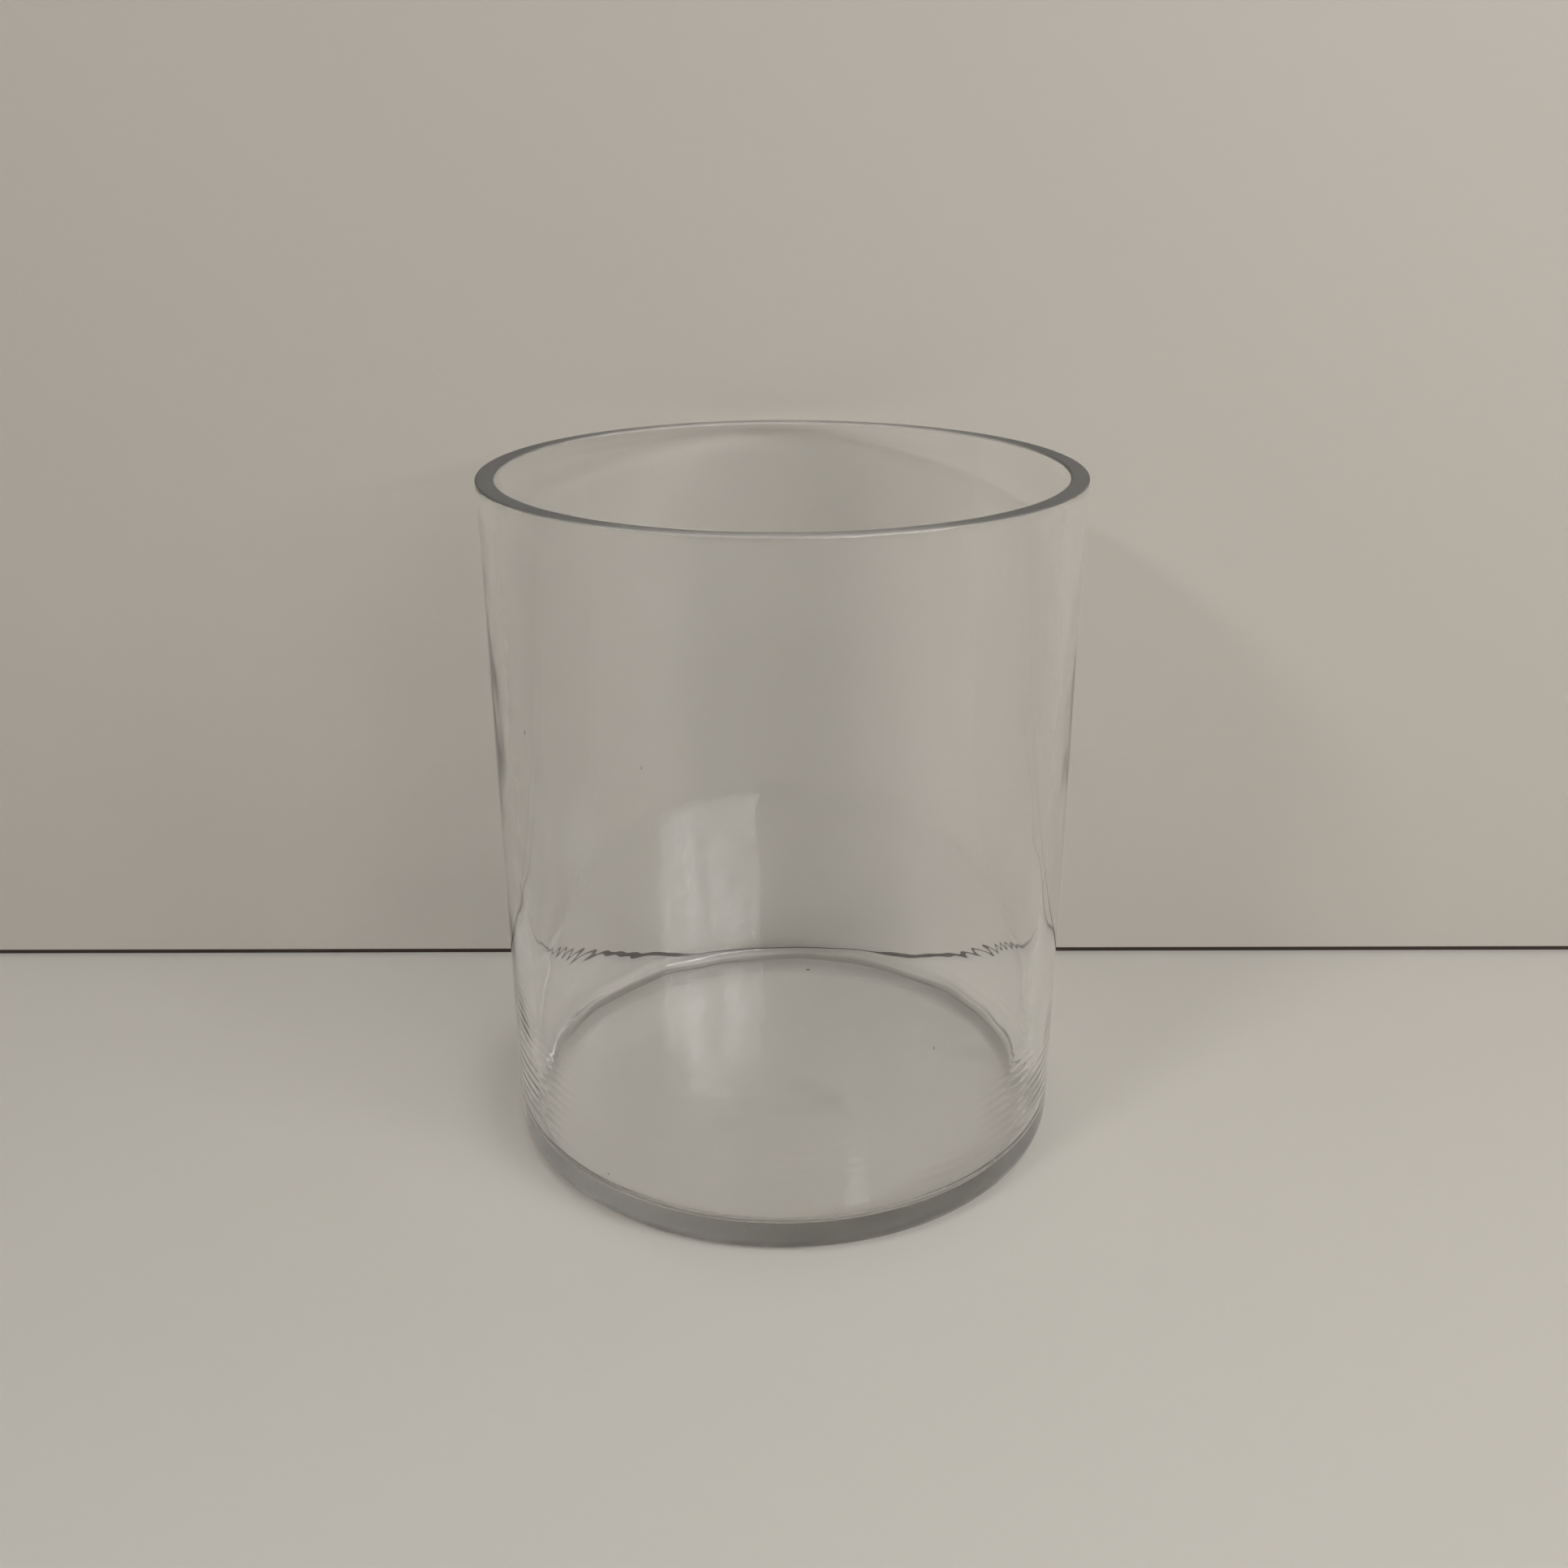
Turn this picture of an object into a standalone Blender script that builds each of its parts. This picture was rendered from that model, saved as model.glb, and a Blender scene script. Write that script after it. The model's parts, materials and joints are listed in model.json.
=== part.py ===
"""Glass cylinder vase, 250 mm across and 300 mm tall, open at the top.

Frame: metres, +Z up along the vase's axis, origin at the centre of the face it stands on.
The glass is two turned solids that meet face to face:
    coved_base     the thick bottom, with the rounded foot outside and the cove inside
    cylinder_wall  the straight wall above it, with a ground flat rim
"""
import math

import bmesh
import bpy

# Driving dimensions, in metres.
OUTER_DIAMETER = 0.250
HEIGHT = 0.300
WALL_THICKNESS = 0.0075
FLOOR_THICKNESS = 0.0115   # glass under the flat inside floor
COVE_RADIUS = 0.006        # inside corner between floor and wall
FOOT_RADIUS = 0.0085       # outside corner that the vase stands on
RIM_BEVEL = 0.001          # softened edges of the ground rim

# Mesh fineness and clearance.
SEGMENTS = 96              # facets round the vase
COVE_STEPS = 5
FOOT_STEPS = 5
BEVEL_STEPS = 2
JOINT_GAP = 0.0003         # between the two solids
MERGE_DISTANCE = 0.00001
SHARP_ANGLE = math.radians(30)

# Derived sizes.
OUTER_RADIUS = OUTER_DIAMETER / 2
INNER_RADIUS = OUTER_RADIUS - WALL_THICKNESS
JOINT_HEIGHT = FLOOR_THICKNESS + COVE_RADIUS   # where the cove has become the straight wall

GLASS_COLOUR = (0.90, 0.92, 0.90, 1.0)
GLASS_IOR = 1.52
BASE_ROUGHNESS = 0.02
WALL_ROUGHNESS = 0.01


def clear_scene():
    for obj in list(bpy.data.objects):
        bpy.data.objects.remove(obj, do_unlink=True)


def glass_material(name, roughness):
    material = bpy.data.materials.new(name)
    material.use_nodes = True
    shader = material.node_tree.nodes["Principled BSDF"]
    shader.inputs["Base Color"].default_value = GLASS_COLOUR
    shader.inputs["Metallic"].default_value = 0.0
    shader.inputs["Roughness"].default_value = roughness
    shader.inputs["IOR"].default_value = GLASS_IOR
    shader.inputs["Transmission Weight"].default_value = 1.0
    return material


def arc(centre_r, centre_z, radius, start_deg, end_deg, steps):
    """Points (r, z) along a round corner, both ends included."""
    points = []
    for step in range(steps + 1):
        angle = math.radians(start_deg + (end_deg - start_deg) * step / steps)
        points.append((centre_r + radius * math.cos(angle), centre_z + radius * math.sin(angle)))
    return points


def base_profile():
    """Half section of the bottom: outer side, foot, underside, floor and cove, closed by the joint face."""
    outer_side = [(OUTER_RADIUS, JOINT_HEIGHT)]
    foot = arc(OUTER_RADIUS - FOOT_RADIUS, FOOT_RADIUS, FOOT_RADIUS, 0, -90, FOOT_STEPS)
    axis = [(0.0, 0.0), (0.0, FLOOR_THICKNESS)]
    cove = arc(INNER_RADIUS - COVE_RADIUS, JOINT_HEIGHT, COVE_RADIUS, -90, 0, COVE_STEPS)
    return outer_side + foot + axis + cove


def wall_profile():
    """Half section of the wall, down the outside and up the inside; the ground rim closes it."""
    corner_z = HEIGHT - RIM_BEVEL
    foot_z = JOINT_HEIGHT + JOINT_GAP
    outer_edge = arc(OUTER_RADIUS - RIM_BEVEL, corner_z, RIM_BEVEL, 90, 0, BEVEL_STEPS)
    foot_face = [(OUTER_RADIUS, foot_z), (INNER_RADIUS, foot_z)]
    inner_edge = arc(INNER_RADIUS + RIM_BEVEL, corner_z, RIM_BEVEL, 180, 90, BEVEL_STEPS)
    return outer_edge + foot_face + inner_edge


def turned_solid(name, profile, material):
    """Spin a closed half section once round +Z into one closed body."""
    mesh = bpy.data.meshes.new(name)
    bm = bmesh.new()
    verts = [bm.verts.new((r, 0.0, z)) for r, z in profile]
    edges = [bm.edges.new(pair) for pair in zip(verts, verts[1:] + verts[:1])]
    bmesh.ops.spin(bm, geom=verts + edges, cent=(0, 0, 0), axis=(0, 0, 1),
                   angle=math.tau, steps=SEGMENTS, use_merge=False, use_duplicate=False)
    bmesh.ops.remove_doubles(bm, verts=bm.verts, dist=MERGE_DISTANCE)
    axis_edges = [edge for edge in bm.edges if edge.is_wire]
    bmesh.ops.delete(bm, geom=axis_edges, context="EDGES")
    bmesh.ops.recalc_face_normals(bm, faces=bm.faces)
    bm.to_mesh(mesh)
    bm.free()
    mesh.materials.append(material)
    mesh.shade_smooth()
    mesh.set_sharp_from_angle(angle=SHARP_ANGLE)
    solid = bpy.data.objects.new(name, mesh)
    bpy.context.scene.collection.objects.link(solid)
    return solid


def main():
    clear_scene()
    base_glass = glass_material("base_glass", BASE_ROUGHNESS)
    wall_glass = glass_material("wall_glass", WALL_ROUGHNESS)
    turned_solid("coved_base", base_profile(), base_glass)
    turned_solid("cylinder_wall", wall_profile(), wall_glass)


main()
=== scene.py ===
"""Looks of the glass cylinder vase: one clear glass body, a pale floor and wall, soft light."""
import json
import math

import bmesh
import bpy
from mathutils import Matrix, Vector, noise


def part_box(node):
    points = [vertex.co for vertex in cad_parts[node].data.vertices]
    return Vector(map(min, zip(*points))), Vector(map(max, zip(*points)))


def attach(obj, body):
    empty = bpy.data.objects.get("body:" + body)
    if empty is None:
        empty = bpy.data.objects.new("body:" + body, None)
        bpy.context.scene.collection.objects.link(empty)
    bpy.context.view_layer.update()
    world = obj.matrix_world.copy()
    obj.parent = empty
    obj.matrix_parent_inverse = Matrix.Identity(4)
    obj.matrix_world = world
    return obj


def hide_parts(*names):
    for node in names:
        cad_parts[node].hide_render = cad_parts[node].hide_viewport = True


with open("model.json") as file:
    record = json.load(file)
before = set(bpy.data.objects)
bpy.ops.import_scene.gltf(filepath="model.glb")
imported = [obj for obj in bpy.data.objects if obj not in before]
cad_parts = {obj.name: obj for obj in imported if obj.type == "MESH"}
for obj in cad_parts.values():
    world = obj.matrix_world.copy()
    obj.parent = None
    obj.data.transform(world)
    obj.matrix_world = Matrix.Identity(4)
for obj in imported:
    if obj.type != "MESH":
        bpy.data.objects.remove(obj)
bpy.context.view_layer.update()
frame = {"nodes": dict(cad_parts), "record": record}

# Sizes from the frame, in metres.
WALL_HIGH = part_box("cylinder_wall")[1]
HEIGHT = WALL_HIGH[2]
OUTER_RADIUS = WALL_HIGH[0]
MOUNTS = {mount["name"]: mount for mount in frame["record"]["mounts"]}
FLOOR_HEIGHT = MOUNTS["inside_floor"]["pos_m"][2]
WALL_POINTS = [v.co for v in frame["nodes"]["cylinder_wall"].data.vertices]
INNER_RADIUS = min(math.hypot(point.x, point.y) for point in WALL_POINTS)

# Shape of the glass, in metres.
COVE_RADIUS = 0.006
FOOT_RADIUS = 0.0085
FOOT_EDGE = OUTER_RADIUS - FOOT_RADIUS      # where the flat underside ends
COVE_EDGE = INNER_RADIUS - COVE_RADIUS      # where the flat floor ends
COVE_TOP = FLOOR_HEIGHT + COVE_RADIUS       # where the straight wall begins
RIM_BEVEL = 0.0009

# Hand-made unevenness. Each swelling of the outside: height, half height of its bulge, amount.
SWELLINGS = [(0.240, 0.050, -0.00035), (0.045, 0.035, 0.0003)]
# Each wave over a surface: amount, width of a bump, seed.
UNDERSIDE_WAVES = [(0.00010, 0.045, 3.1), (0.00003, 0.014, 9.4)]
OUTSIDE_WAVES = [(0.00012, 0.060, 5.7), (0.00003, 0.018, 1.3)]
INSIDE_WAVE = (0.00014, 0.050, 8.2)
FLOOR_WAVES = [(0.00010, 0.035, 7.9), (0.00003, 0.011, 0.4)]
FINE_WIDTH, FINE_SEED = 0.015, 4.4          # the inside's finer wave,
FINE_FRONT, FINE_MORE_AT_BACK = 0.00004, 0.00008    # which is stronger at the back
TALLER = 2                                  # waves on the wall are this much taller than wide
FINE_TALLER = 1.3
FOOT_CALM = 0.02                            # the outside's unevenness dies away over this height,
RIM_CALM = 0.012                            # and all unevenness over this distance to the rim
COVE_CALM = 0.011
UNDERSIDE_CALM = 0.012

RING_SPACING = 0.0047        # faint turning rings low on the inside of the wall
RING_DEPTH = 0.00008
RINGS_UP_TO = 0.075
RING_WANDER = (0.0012, 0.03, 2.2)
RING_BREAKS = (0.5, 0.03, 6.6)
RING_MEAN = 0.7
RINGS_LOST_AT_BACK = 0.85
SEAM_ANGLE = 27              # where round the cove the fused line runs, degrees up from the floor
SEAM_WIDTH = 0.0007
SEAM_DEPTH = 0.00013
EDGE_DRIFT = (0.0006, 0.45, 2.9)    # how far the floor's edge wanders in and out
KINK_TURN = -5.0             # where the floor's edge jogs outwards, degrees from +X
KINK_SIZE = 0.0018
# Air bubbles: degrees from +X, distance from the axis, height, radius, how much taller than wide.
BUBBLES = [
    (-42.0, 0.1195, 0.0165, 0.0007, 1.0),
    (-26.0, 0.1210, 0.0355, 0.0005, 1.0),
    (-20.5, 0.1215, 0.0150, 0.0006, 1.3),
    (17.0, 0.0795, 0.0060, 0.0003, 6.0),
    (-134.0, 0.1070, 0.0060, 0.0003, 5.0),
    (81.5, 0.1035, 0.0055, 0.0009, 1.0),
    (-98.0, 0.1120, 0.0070, 0.0004, 1.0),
    (128.0, 0.1210, 0.1300, 0.0004, 2.5),
    (215.0, 0.1212, 0.2100, 0.0004, 2.0),
]

# Fineness of the turned mesh.
SEGMENTS = 300
FLOOR_RINGS = 36
UNDERSIDE_RINGS = 22
FOOT_STEPS = 10
COVE_STEPS = 26
LOW_ROWS = 58
HIGH_ROWS = 56
RIM_CORNER_STEPS = 4
RIM_STEPS = 8

# Finish of the glass.
GLASS_IOR = 1.52
GLASS_ABSORPTION = (0.50, 0.49, 0.47, 1)
GLASS_DENSITY = 1.5
UNDERSIDE_ROUGHNESS = 0.16
UNDERSIDE_FADE = (0.0008, 0.0003)    # heights between which the dull finish sets in
DULL_RADIUS = 0.105                  # the underside is polished outside this
DULL_FADE = 0.001
SMUDGE_ROUGHNESS = 0.05
SMUDGE_SCALE = 28.0
# Painted shade: this darker base colour on the foot's outer face stands in for the shade seen
# through the foot.
FOOT_PAINTED_SHADE_COLOUR = (0.50, 0.49, 0.47, 1)
FOOT_SHADE = 0.0056                  # the foot's outer face gets painted shade below this height
FOOT_SHADE_FADE = 0.0012
GROUND_FADE = (0.0002, 0.0006)       # the underside itself is kept free of the painted shade
RIM_COLOUR = (0.92, 0.91, 0.89, 1)
RIM_ROUGHNESS = 0.60
RIM_ROUGHNESS_CHANGE = 0.15
RIM_CLEARNESS = 0.88
GRINDING_SCALE = 900.0
GRINDING_DEPTH = 0.00005

# Camera, in metres and degrees.
CAMERA_PLACE = (0.0004, -0.6339, 0.4180)
CAMERA_PITCH = 22.226
CAMERA_ROLL = -0.137
CAMERA_LENS = 35.13
SENSOR = 36.0

# Stage.
STAGE_REACH = 3
WALL_Y = 0.1354
GROUND_Z = -0.0003
GAP_TOP = GROUND_Z + 0.0034
GAP_Y = WALL_Y + 0.002

# Light. Each lamp: name, place, target, width and height, watts.
ROOM_COLOUR = (1.0, 0.985, 0.96, 1)
ROOM_STRENGTH = 0.20
LAMPS = [
    ("window_right", (1.23, -1.58, 1.12), (0, 0, 0.1), (1.9, 0.62), 29),
    ("window_left", (-1.02, -1.21, 1.42), (0, 0, 0.1), (0.35, 0.07), 6),
    ("overhead", (0.5, -0.4, 2.2), (0, 0, 0), (1.0, 1.0), 3),
]
CLOUD_SCALE = 5.0
CLOUD_RANGE = (0.44, 0.62)           # the part of the noise that is used,
CLOUD_STRENGTH = (0.35, 2.2)         # and the brightness that it gives


def srgb(r, g, b):
    """Linear colour of an 8-bit display colour."""
    def linear(c):
        c /= 255
        return c / 12.92 if c <= 0.04045 else ((c + 0.055) / 1.055) ** 2.4
    return (linear(r), linear(g), linear(b), 1.0)


# ---------------------------------------------------------------- camera
def make_camera():
    data = bpy.data.cameras.new("camera")
    data.sensor_width = SENSOR
    data.lens = CAMERA_LENS
    data.clip_start = 0.01
    camera = bpy.data.objects.new("camera", data)
    bpy.context.scene.collection.objects.link(camera)
    tilt = Matrix.Rotation(math.radians(90 - CAMERA_PITCH), 4, "X")
    roll = Matrix.Rotation(math.radians(CAMERA_ROLL), 4, "Z")
    camera.matrix_world = Matrix.Translation(CAMERA_PLACE) @ tilt @ roll
    bpy.context.scene.camera = camera


# ---------------------------------------------------------------- shader nodes
def ramp(tree, value, start, end, low=0.0, high=1.0):
    """Goes from low to high as the value goes from start to end, and stays level beyond them."""
    node = tree.nodes.new("ShaderNodeMapRange")
    node.inputs["From Min"].default_value = start
    node.inputs["From Max"].default_value = end
    node.inputs["To Min"].default_value = low
    node.inputs["To Max"].default_value = high
    tree.links.new(value, node.inputs["Value"])
    return node.outputs[0]


def combine(tree, operation, one, other):
    node = tree.nodes.new("ShaderNodeMath")
    node.operation = operation
    tree.links.new(one, node.inputs[0])
    tree.links.new(other, node.inputs[1])
    return node.outputs[0]


def blotches(tree, place, scale, detail):
    node = tree.nodes.new("ShaderNodeTexNoise")
    node.inputs["Scale"].default_value = scale
    node.inputs["Detail"].default_value = detail
    tree.links.new(place, node.inputs["Vector"])
    return node.outputs[0]


# ---------------------------------------------------------------- glass
def glass_material():
    """Clear polished glass, slightly dull in the middle of the underside, with painted shade
    darkening the foot.
    """
    material = bpy.data.materials.new("clear_glass")
    material.use_nodes = True
    tree = material.node_tree
    shader = tree.nodes["Principled BSDF"]
    shader.inputs["IOR"].default_value = GLASS_IOR
    shader.inputs["Transmission Weight"].default_value = 1.0
    volume = tree.nodes.new("ShaderNodeVolumeAbsorption")
    volume.inputs["Color"].default_value = GLASS_ABSORPTION
    volume.inputs["Density"].default_value = GLASS_DENSITY
    tree.links.new(volume.outputs[0], tree.nodes["Material Output"].inputs["Volume"])

    place = tree.nodes.new("ShaderNodeNewGeometry").outputs["Position"]
    split = tree.nodes.new("ShaderNodeSeparateXYZ")
    tree.links.new(place, split.inputs[0])
    height = split.outputs["Z"]
    distance = tree.nodes.new("ShaderNodeVectorMath")
    distance.operation = "LENGTH"
    tree.links.new(place, distance.inputs[0])

    underneath = ramp(tree, height, *UNDERSIDE_FADE, high=UNDERSIDE_ROUGHNESS)
    middle = ramp(tree, distance.outputs["Value"], DULL_RADIUS + DULL_FADE, DULL_RADIUS - DULL_FADE)
    dull = combine(tree, "MULTIPLY", underneath, middle)
    smears = ramp(tree, blotches(tree, place, SMUDGE_SCALE, 6.0), 0.55, 0.75, high=SMUDGE_ROUGHNESS)
    tree.links.new(combine(tree, "MAXIMUM", dull, smears), shader.inputs["Roughness"])

    # Painted shade: a darker base colour on the foot's outer face, from just above the ground up to
    # FOOT_SHADE.
    foot = ramp(tree, height, FOOT_SHADE + FOOT_SHADE_FADE, FOOT_SHADE - FOOT_SHADE_FADE)
    above_ground = ramp(tree, height, *GROUND_FADE)
    painted_shade = tree.nodes.new("ShaderNodeMix")
    painted_shade.data_type = "RGBA"
    factor, clear, shaded = painted_shade.inputs[0], painted_shade.inputs[6], painted_shade.inputs[7]
    clear.default_value = (1, 1, 1, 1)
    shaded.default_value = FOOT_PAINTED_SHADE_COLOUR
    tree.links.new(combine(tree, "MULTIPLY", foot, above_ground), factor)
    tree.links.new(painted_shade.outputs[2], shader.inputs["Base Color"])
    return material


def ground_rim_material():
    """The rim's ground face: the same glass, but matt, a little milky, and marked by grinding."""
    material = bpy.data.materials.new("ground_rim")
    material.use_nodes = True
    tree = material.node_tree
    shader = tree.nodes["Principled BSDF"]
    shader.inputs["Base Color"].default_value = RIM_COLOUR
    shader.inputs["IOR"].default_value = GLASS_IOR
    shader.inputs["Transmission Weight"].default_value = RIM_CLEARNESS
    place = tree.nodes.new("ShaderNodeNewGeometry").outputs["Position"]
    grinding = blotches(tree, place, GRINDING_SCALE, 3.0)
    matt = ramp(tree, grinding, 0.0, 1.0,
                RIM_ROUGHNESS - RIM_ROUGHNESS_CHANGE, RIM_ROUGHNESS + RIM_ROUGHNESS_CHANGE)
    tree.links.new(matt, shader.inputs["Roughness"])
    bump = tree.nodes.new("ShaderNodeBump")
    bump.inputs["Distance"].default_value = GRINDING_DEPTH
    tree.links.new(grinding, bump.inputs["Height"])
    tree.links.new(bump.outputs[0], shader.inputs["Normal"])
    return material


# ---------------------------------------------------------------- outline of the vase
def arc(centre_r, centre_z, radius, start, end, steps):
    """Points (r, z) along a round corner, without its first point; angles in degrees."""
    angles = [math.radians(start + (end - start) * s / steps) for s in range(1, steps + 1)]
    return [(centre_r + radius * math.cos(a), centre_z + radius * math.sin(a)) for a in angles]


def line(start, end, steps):
    """Points (r, z) along a straight run, without its first point."""
    shares = [s / steps for s in range(1, steps + 1)]
    return [(start[0] + (end[0] - start[0]) * share, start[1] + (end[1] - start[1]) * share)
            for share in shares]


def seam(angle):
    """Depth of the fused line round the cove, at an angle down from the wall, in degrees."""
    along = math.radians(90 - SEAM_ANGLE - angle) * COVE_RADIUS
    return SEAM_DEPTH * math.exp(-(along / SEAM_WIDTH) ** 2)


def cove_point(angle):
    radius = COVE_RADIUS + seam(angle)
    turn = math.radians(-angle)
    return COVE_EDGE + radius * math.cos(turn), COVE_TOP + radius * math.sin(turn)


def half_section():
    """Outline from the underside's centre, up the outside, over the rim and in to the floor.

    Each point is (r, z, surface), so that every surface gets its own unevenness.
    """
    underside = line((0.0, 0.0), (FOOT_EDGE, 0.0), UNDERSIDE_RINGS)[:-1]
    outside = [(FOOT_EDGE, 0.0)] + arc(FOOT_EDGE, FOOT_RADIUS, FOOT_RADIUS, -90, 0, FOOT_STEPS)
    outside += line(outside[-1], (OUTER_RADIUS, RINGS_UP_TO), LOW_ROWS // 2)
    outside += line(outside[-1], (OUTER_RADIUS, HEIGHT - RIM_BEVEL), HIGH_ROWS)
    shoulder = HEIGHT - RIM_BEVEL
    rim = arc(OUTER_RADIUS - RIM_BEVEL, shoulder, RIM_BEVEL, 0, 90, RIM_CORNER_STEPS)
    rim += line(rim[-1], (INNER_RADIUS + RIM_BEVEL, HEIGHT), RIM_STEPS)
    rim += arc(INNER_RADIUS + RIM_BEVEL, shoulder, RIM_BEVEL, 90, 180, RIM_CORNER_STEPS)
    inside = line(rim[-1], (INNER_RADIUS, RINGS_UP_TO), HIGH_ROWS)
    inside += line(inside[-1], (INNER_RADIUS, COVE_TOP), LOW_ROWS)
    cove = [cove_point(90 * step / COVE_STEPS) for step in range(1, COVE_STEPS + 1)]
    floor = line((COVE_EDGE, FLOOR_HEIGHT), (0.0, FLOOR_HEIGHT), FLOOR_RINGS)[:-1]
    runs = [("underside", underside), ("outside", outside), ("rim", rim),
            ("inside", inside), ("cove", cove), ("floor", floor)]
    return [(r, z, surface) for surface, points in runs for r, z in points]


# ---------------------------------------------------------------- unevenness
def wave(x, y, z, size, seed):
    """Smooth unevenness, about -1 to 1, with bumps about `size` metres across."""
    return 2 * noise.noise(Vector((x / size + seed, y / size, z / size)))


def waves(x, y, z, rows):
    return sum(amount * wave(x, y, z, size, seed) for amount, size, seed in rows)


def smooth(value, low, high):
    """0 below low, 1 above high, and an S-shaped rise between them."""
    share = min(max((value - low) / (high - low), 0.0), 1.0)
    return share * share * (3 - 2 * share)


def kink(turn):
    """Outward shift of the floor's edge: a sudden jog that dies away over the next 18 degrees."""
    behind = (KINK_TURN - math.degrees(turn) + 180) % 360 - 180
    return KINK_SIZE * smooth(behind, 0.0, 1.2) * (1 - smooth(behind, 4.0, 18.0))


def uneven_outside(x, y, z):
    swelling = sum(amount * math.exp(-((z - height) / reach) ** 2)
                   for height, reach, amount in SWELLINGS)
    ripple = waves(x, y, z / TALLER, OUTSIDE_WAVES)
    return (swelling + ripple) * smooth(z, 0.0, FOOT_CALM) * smooth(HEIGHT - z, 0.0, RIM_CALM)


def uneven_inside(x, y, z):
    fine = FINE_FRONT + FINE_MORE_AT_BACK * smooth(y, -0.04, 0.08)
    ripple = waves(x, y, z / TALLER, [INSIDE_WAVE])
    ripple += fine * wave(x, y, z / FINE_TALLER, FINE_WIDTH, FINE_SEED)
    ends = smooth(HEIGHT - z, 0.0, RIM_CALM) * smooth(z, COVE_TOP, COVE_TOP + COVE_CALM)
    return ripple * ends + rings(x, y, z)


def rings(x, y, z):
    """The faint rings low on the inside, which fade out above, below and towards the back."""
    phase = math.tau * (z + waves(x, y, 0, [RING_WANDER])) / RING_SPACING
    fade = smooth(RINGS_UP_TO - z, 0.0, 0.035) * smooth(z, COVE_TOP, COVE_TOP + 0.007)
    fade *= 1 - RINGS_LOST_AT_BACK * smooth(y, 0.03, 0.08)
    return RING_DEPTH * math.sin(phase) * fade * (RING_MEAN + waves(x, y, z, [RING_BREAKS]))


def uneven(r, z, surface, turn):
    """A point of the section, moved as blowing and pressing by hand moves its surface."""
    x, y = r * math.cos(turn), r * math.sin(turn)
    if surface == "underside":
        lift = sum(amount for amount, size, seed in UNDERSIDE_WAVES)
        lift += waves(x, y, 0, UNDERSIDE_WAVES)
        return r, z + lift * smooth(FOOT_EDGE - r, 0.0, UNDERSIDE_CALM)
    if surface == "outside" and z > 0:
        return r + uneven_outside(x, y, z), z
    if surface == "inside":
        return r + uneven_inside(x, y, z), z
    if surface in ("cove", "floor"):
        lift = waves(x, y, 0, FLOOR_WAVES)
        edge = smooth(r, COVE_EDGE - 0.014, COVE_EDGE)
        edge *= 1 - smooth(r, COVE_EDGE + 0.0035, INNER_RADIUS)
        drift = waves(math.cos(turn), math.sin(turn), 0, [EDGE_DRIFT]) + kink(turn)
        return r + drift * edge, z + lift * (1 - smooth(r, COVE_EDGE, INNER_RADIUS))
    return r, z


# ---------------------------------------------------------------- mesh
def add_bubble(verts, faces, turn_deg, distance, height, radius, stretch):
    """A small closed hollow in the glass, with its faces turned inwards."""
    turn = math.radians(turn_deg)
    centre = Vector((distance * math.cos(turn), distance * math.sin(turn), height))
    ball = bmesh.new()
    bmesh.ops.create_uvsphere(ball, u_segments=12, v_segments=8, radius=radius)
    start = len(verts)
    for vert in ball.verts:
        verts.append(tuple(centre + Vector((vert.co.x, vert.co.y, vert.co.z * stretch))))
    for face in ball.faces:
        faces.append(tuple(start + vert.index for vert in reversed(face.verts)))
    ball.free()


def turned_points(section):
    """The section's points at every turn, between the centres of the underside and the floor."""
    verts = [(0.0, 0.0, uneven(0.0, 0.0, "underside", 0.0)[1])]
    for r, z, surface in section:
        for step in range(SEGMENTS):
            turn = math.tau * step / SEGMENTS
            moved_r, moved_z = uneven(r, z, surface, turn)
            verts.append((moved_r * math.cos(turn), moved_r * math.sin(turn), moved_z))
    verts.append((0.0, 0.0, uneven(0.0, FLOOR_HEIGHT, "floor", 0.0)[1]))
    return verts


def turned_faces(rows):
    """The faces between the rows of turned points, and which of them lie between which rows."""
    faces, rows_below = [], []
    last = 1 + rows * SEGMENTS
    top = last - SEGMENTS
    for step in range(SEGMENTS):
        following = (step + 1) % SEGMENTS
        faces.append((0, 1 + following, 1 + step))
        for row in range(rows - 1):
            low = 1 + row * SEGMENTS
            high = low + SEGMENTS
            faces.append((low + step, low + following, high + following, high + step))
        faces.append((top + step, top + following, last))
        rows_below += [None, *range(rows - 1), None]
    return faces, rows_below


def make_vase():
    section = half_section()
    verts = turned_points(section)
    faces, rows_below = turned_faces(len(section))
    for bubble in BUBBLES:
        add_bubble(verts, faces, *bubble)
    mesh = bpy.data.meshes.new("vase_glass")
    mesh.from_pydata(verts, [], faces)
    mesh.shade_smooth()
    mesh.materials.append(glass_material())
    mesh.materials.append(ground_rim_material())
    rim_rows = {row for row in range(len(section) - 1)
                if section[row][2] == section[row + 1][2] == "rim"}
    for face, row in zip(mesh.polygons, rows_below):
        face.material_index = int(row in rim_rows)
    vase = bpy.data.objects.new("vase_glass", mesh)
    bpy.context.scene.collection.objects.link(vase)
    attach(vase, "root")
    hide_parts("coved_base", "cylinder_wall")


# ---------------------------------------------------------------- stage
def plain_material(name, colour, roughness):
    material = bpy.data.materials.new(name)
    material.use_nodes = True
    shader = material.node_tree.nodes["Principled BSDF"]
    shader.inputs["Base Color"].default_value = colour
    shader.inputs["Roughness"].default_value = roughness
    shader.inputs["Specular IOR Level"].default_value = 0.2
    return material


def panel(name, corners, material):
    mesh = bpy.data.meshes.new(name)
    mesh.from_pydata(corners, [], [(0, 1, 2, 3)])
    mesh.materials.append(material)
    obj = bpy.data.objects.new(name, mesh)
    bpy.context.scene.collection.objects.link(obj)


def upright(name, y, low, high, material):
    panel(name, [(-STAGE_REACH, y, low), (STAGE_REACH, y, low),
                 (STAGE_REACH, y, high), (-STAGE_REACH, y, high)], material)


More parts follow.
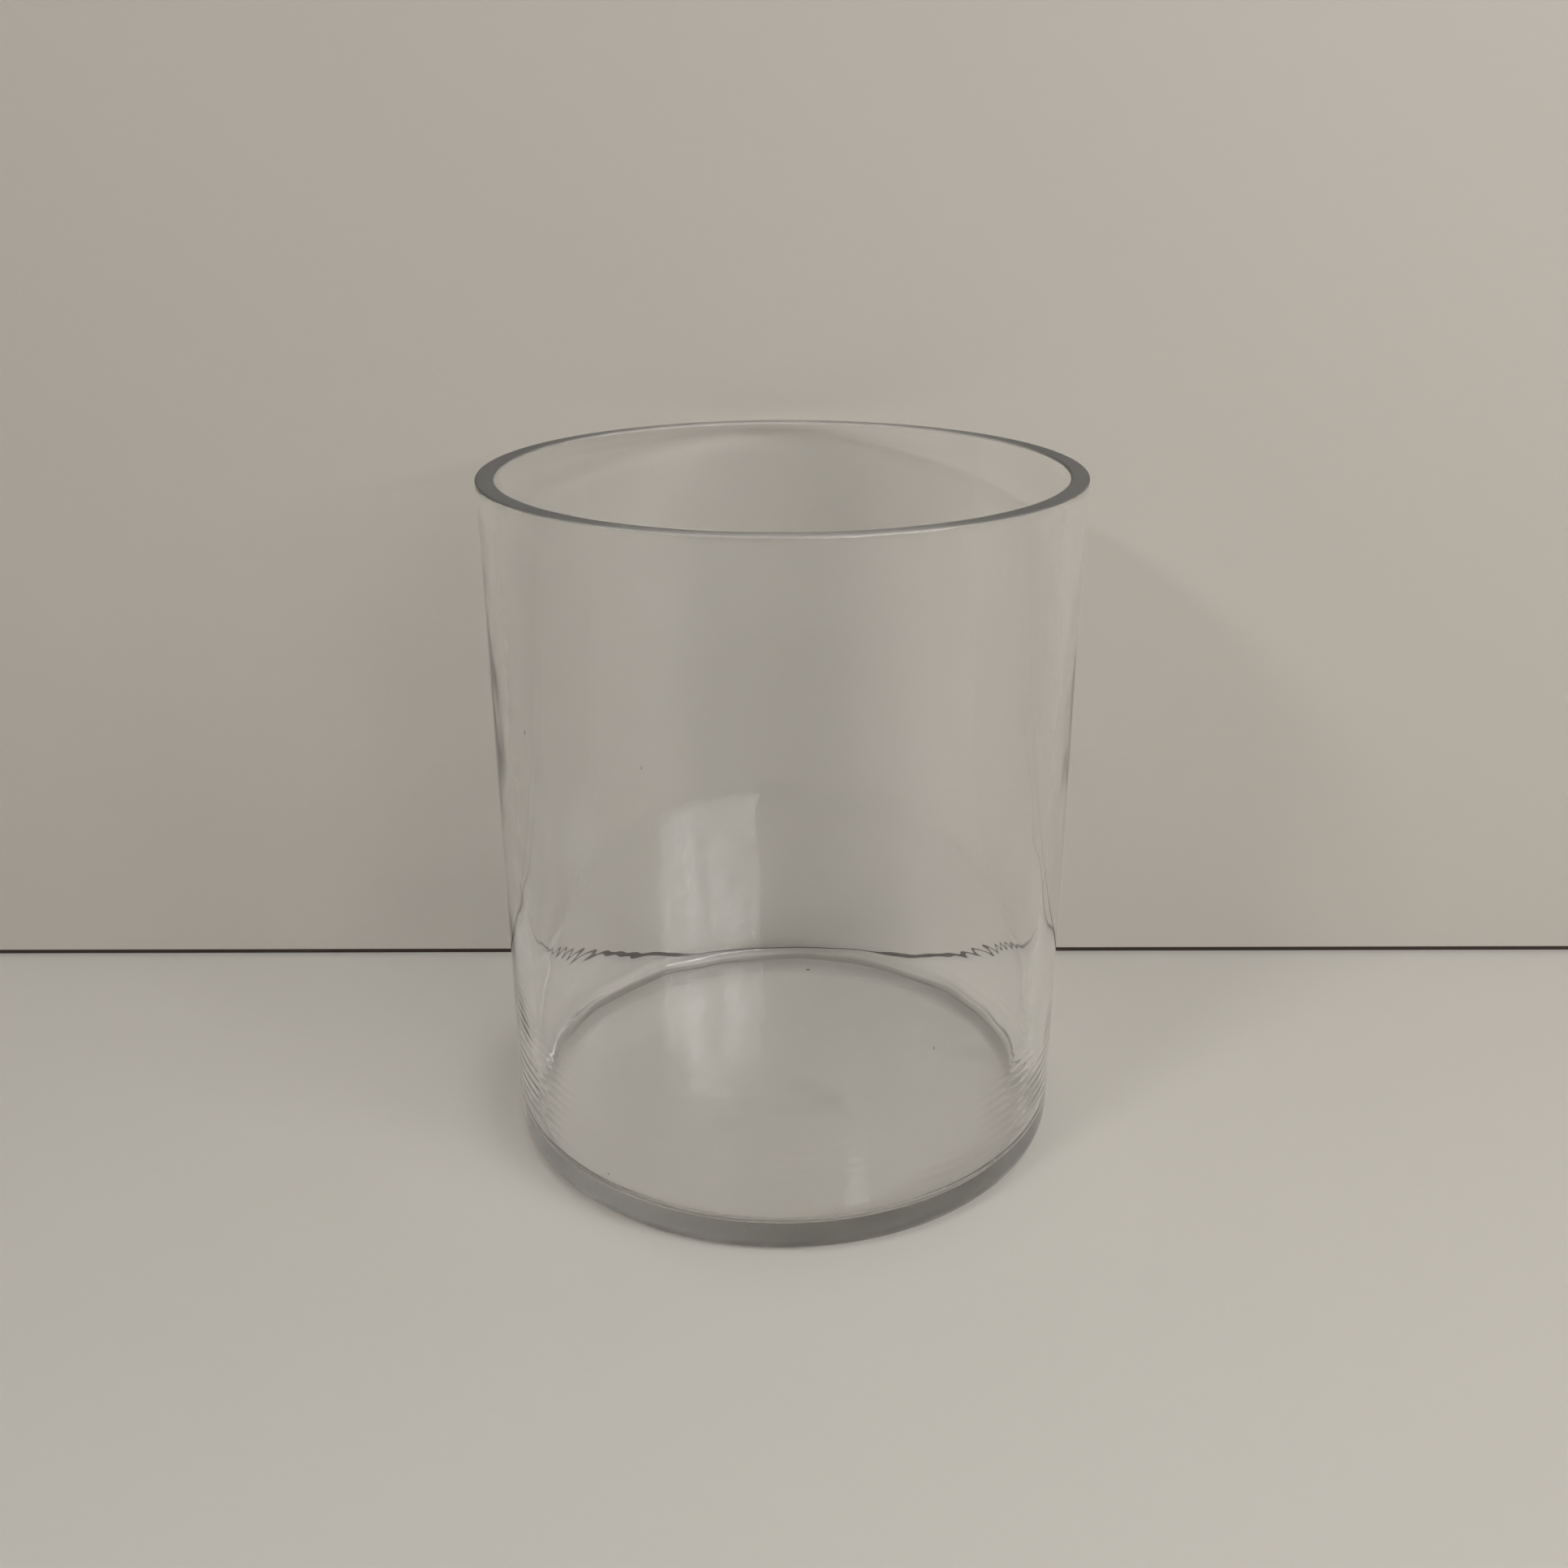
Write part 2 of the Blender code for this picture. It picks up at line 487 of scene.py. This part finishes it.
def one_sided(material):
    """Lets a stage surface be seen from its front only, so views from behind look past it."""
    tree = material.node_tree
    shader = tree.nodes["Principled BSDF"]
    geometry = tree.nodes.new("ShaderNodeNewGeometry")
    clear = tree.nodes.new("ShaderNodeBsdfTransparent")
    mix = tree.nodes.new("ShaderNodeMixShader")
    tree.links.new(geometry.outputs["Backfacing"], mix.inputs[0])
    tree.links.new(shader.outputs[0], mix.inputs[1])
    tree.links.new(clear.outputs[0], mix.inputs[2])
    tree.links.new(mix.outputs[0], tree.nodes["Material Output"].inputs["Surface"])


def make_stage():
    """A floor, a wall behind the vase, and the dark gap under the wall, whose darkness is painted
    shade on a dark sheet.
    """
    floor = plain_material("stage_floor", srgb(214, 210, 202), 0.5)
    wall = plain_material("stage_wall", srgb(189, 184, 175), 0.5)
    one_sided(wall)
    # Painted shade: a dark sheet at the back of the gap stands in for the shade inside it.
    gap = plain_material("stage_gap", srgb(60, 52, 46), 0.9)
    reach = STAGE_REACH
    panel("floor", [(-reach, -reach, GROUND_Z), (reach, -reach, GROUND_Z),
                    (reach, reach, GROUND_Z), (-reach, reach, GROUND_Z)], floor)
    upright("backdrop", WALL_Y, GAP_TOP, STAGE_REACH, wall)
    upright("gap", GAP_Y, GROUND_Z, GAP_TOP, gap)


# ---------------------------------------------------------------- light
def softbox(name, place, target, size, power):
    data = bpy.data.lights.new(name, "AREA")
    data.shape = "RECTANGLE"
    data.size, data.size_y = size
    data.energy = power
    lamp = bpy.data.objects.new(name, data)
    bpy.context.scene.collection.objects.link(lamp)
    lamp.location = place
    towards = Vector(target) - Vector(place)
    lamp.rotation_euler = towards.to_track_quat("-Z", "Y").to_euler()
    return data


def cloud(data):
    """Makes a softbox uneven, like a window with a curtain and a hedge behind it."""
    data.use_nodes = True
    tree = data.node_tree
    place = tree.nodes.new("ShaderNodeNewGeometry").outputs["Parametric"]
    blots = blotches(tree, place, CLOUD_SCALE, 4.0)
    strength = ramp(tree, blots, *CLOUD_RANGE, *CLOUD_STRENGTH)
    tree.links.new(strength, tree.nodes["Emission"].inputs["Strength"])


def make_light():
    world = bpy.data.worlds.new("room")
    bpy.context.scene.world = world
    world.use_nodes = True
    back = world.node_tree.nodes["Background"]
    back.inputs[0].default_value = ROOM_COLOUR
    back.inputs[1].default_value = ROOM_STRENGTH
    lights = {row[0]: softbox(*row) for row in LAMPS}
    cloud(lights["window_right"])


def set_rendering():
    scene = bpy.context.scene
    scene.view_settings.view_transform = "Standard"
    scene.cycles.max_bounces = 32
    scene.cycles.blur_glossy = 0.0      # otherwise the inside of the vase goes dark
    scene.cycles.transmission_bounces = 32
    scene.cycles.glossy_bounces = 16
    scene.cycles.transparent_max_bounces = 16


make_camera()
make_vase()
make_stage()
make_light()
set_rendering()
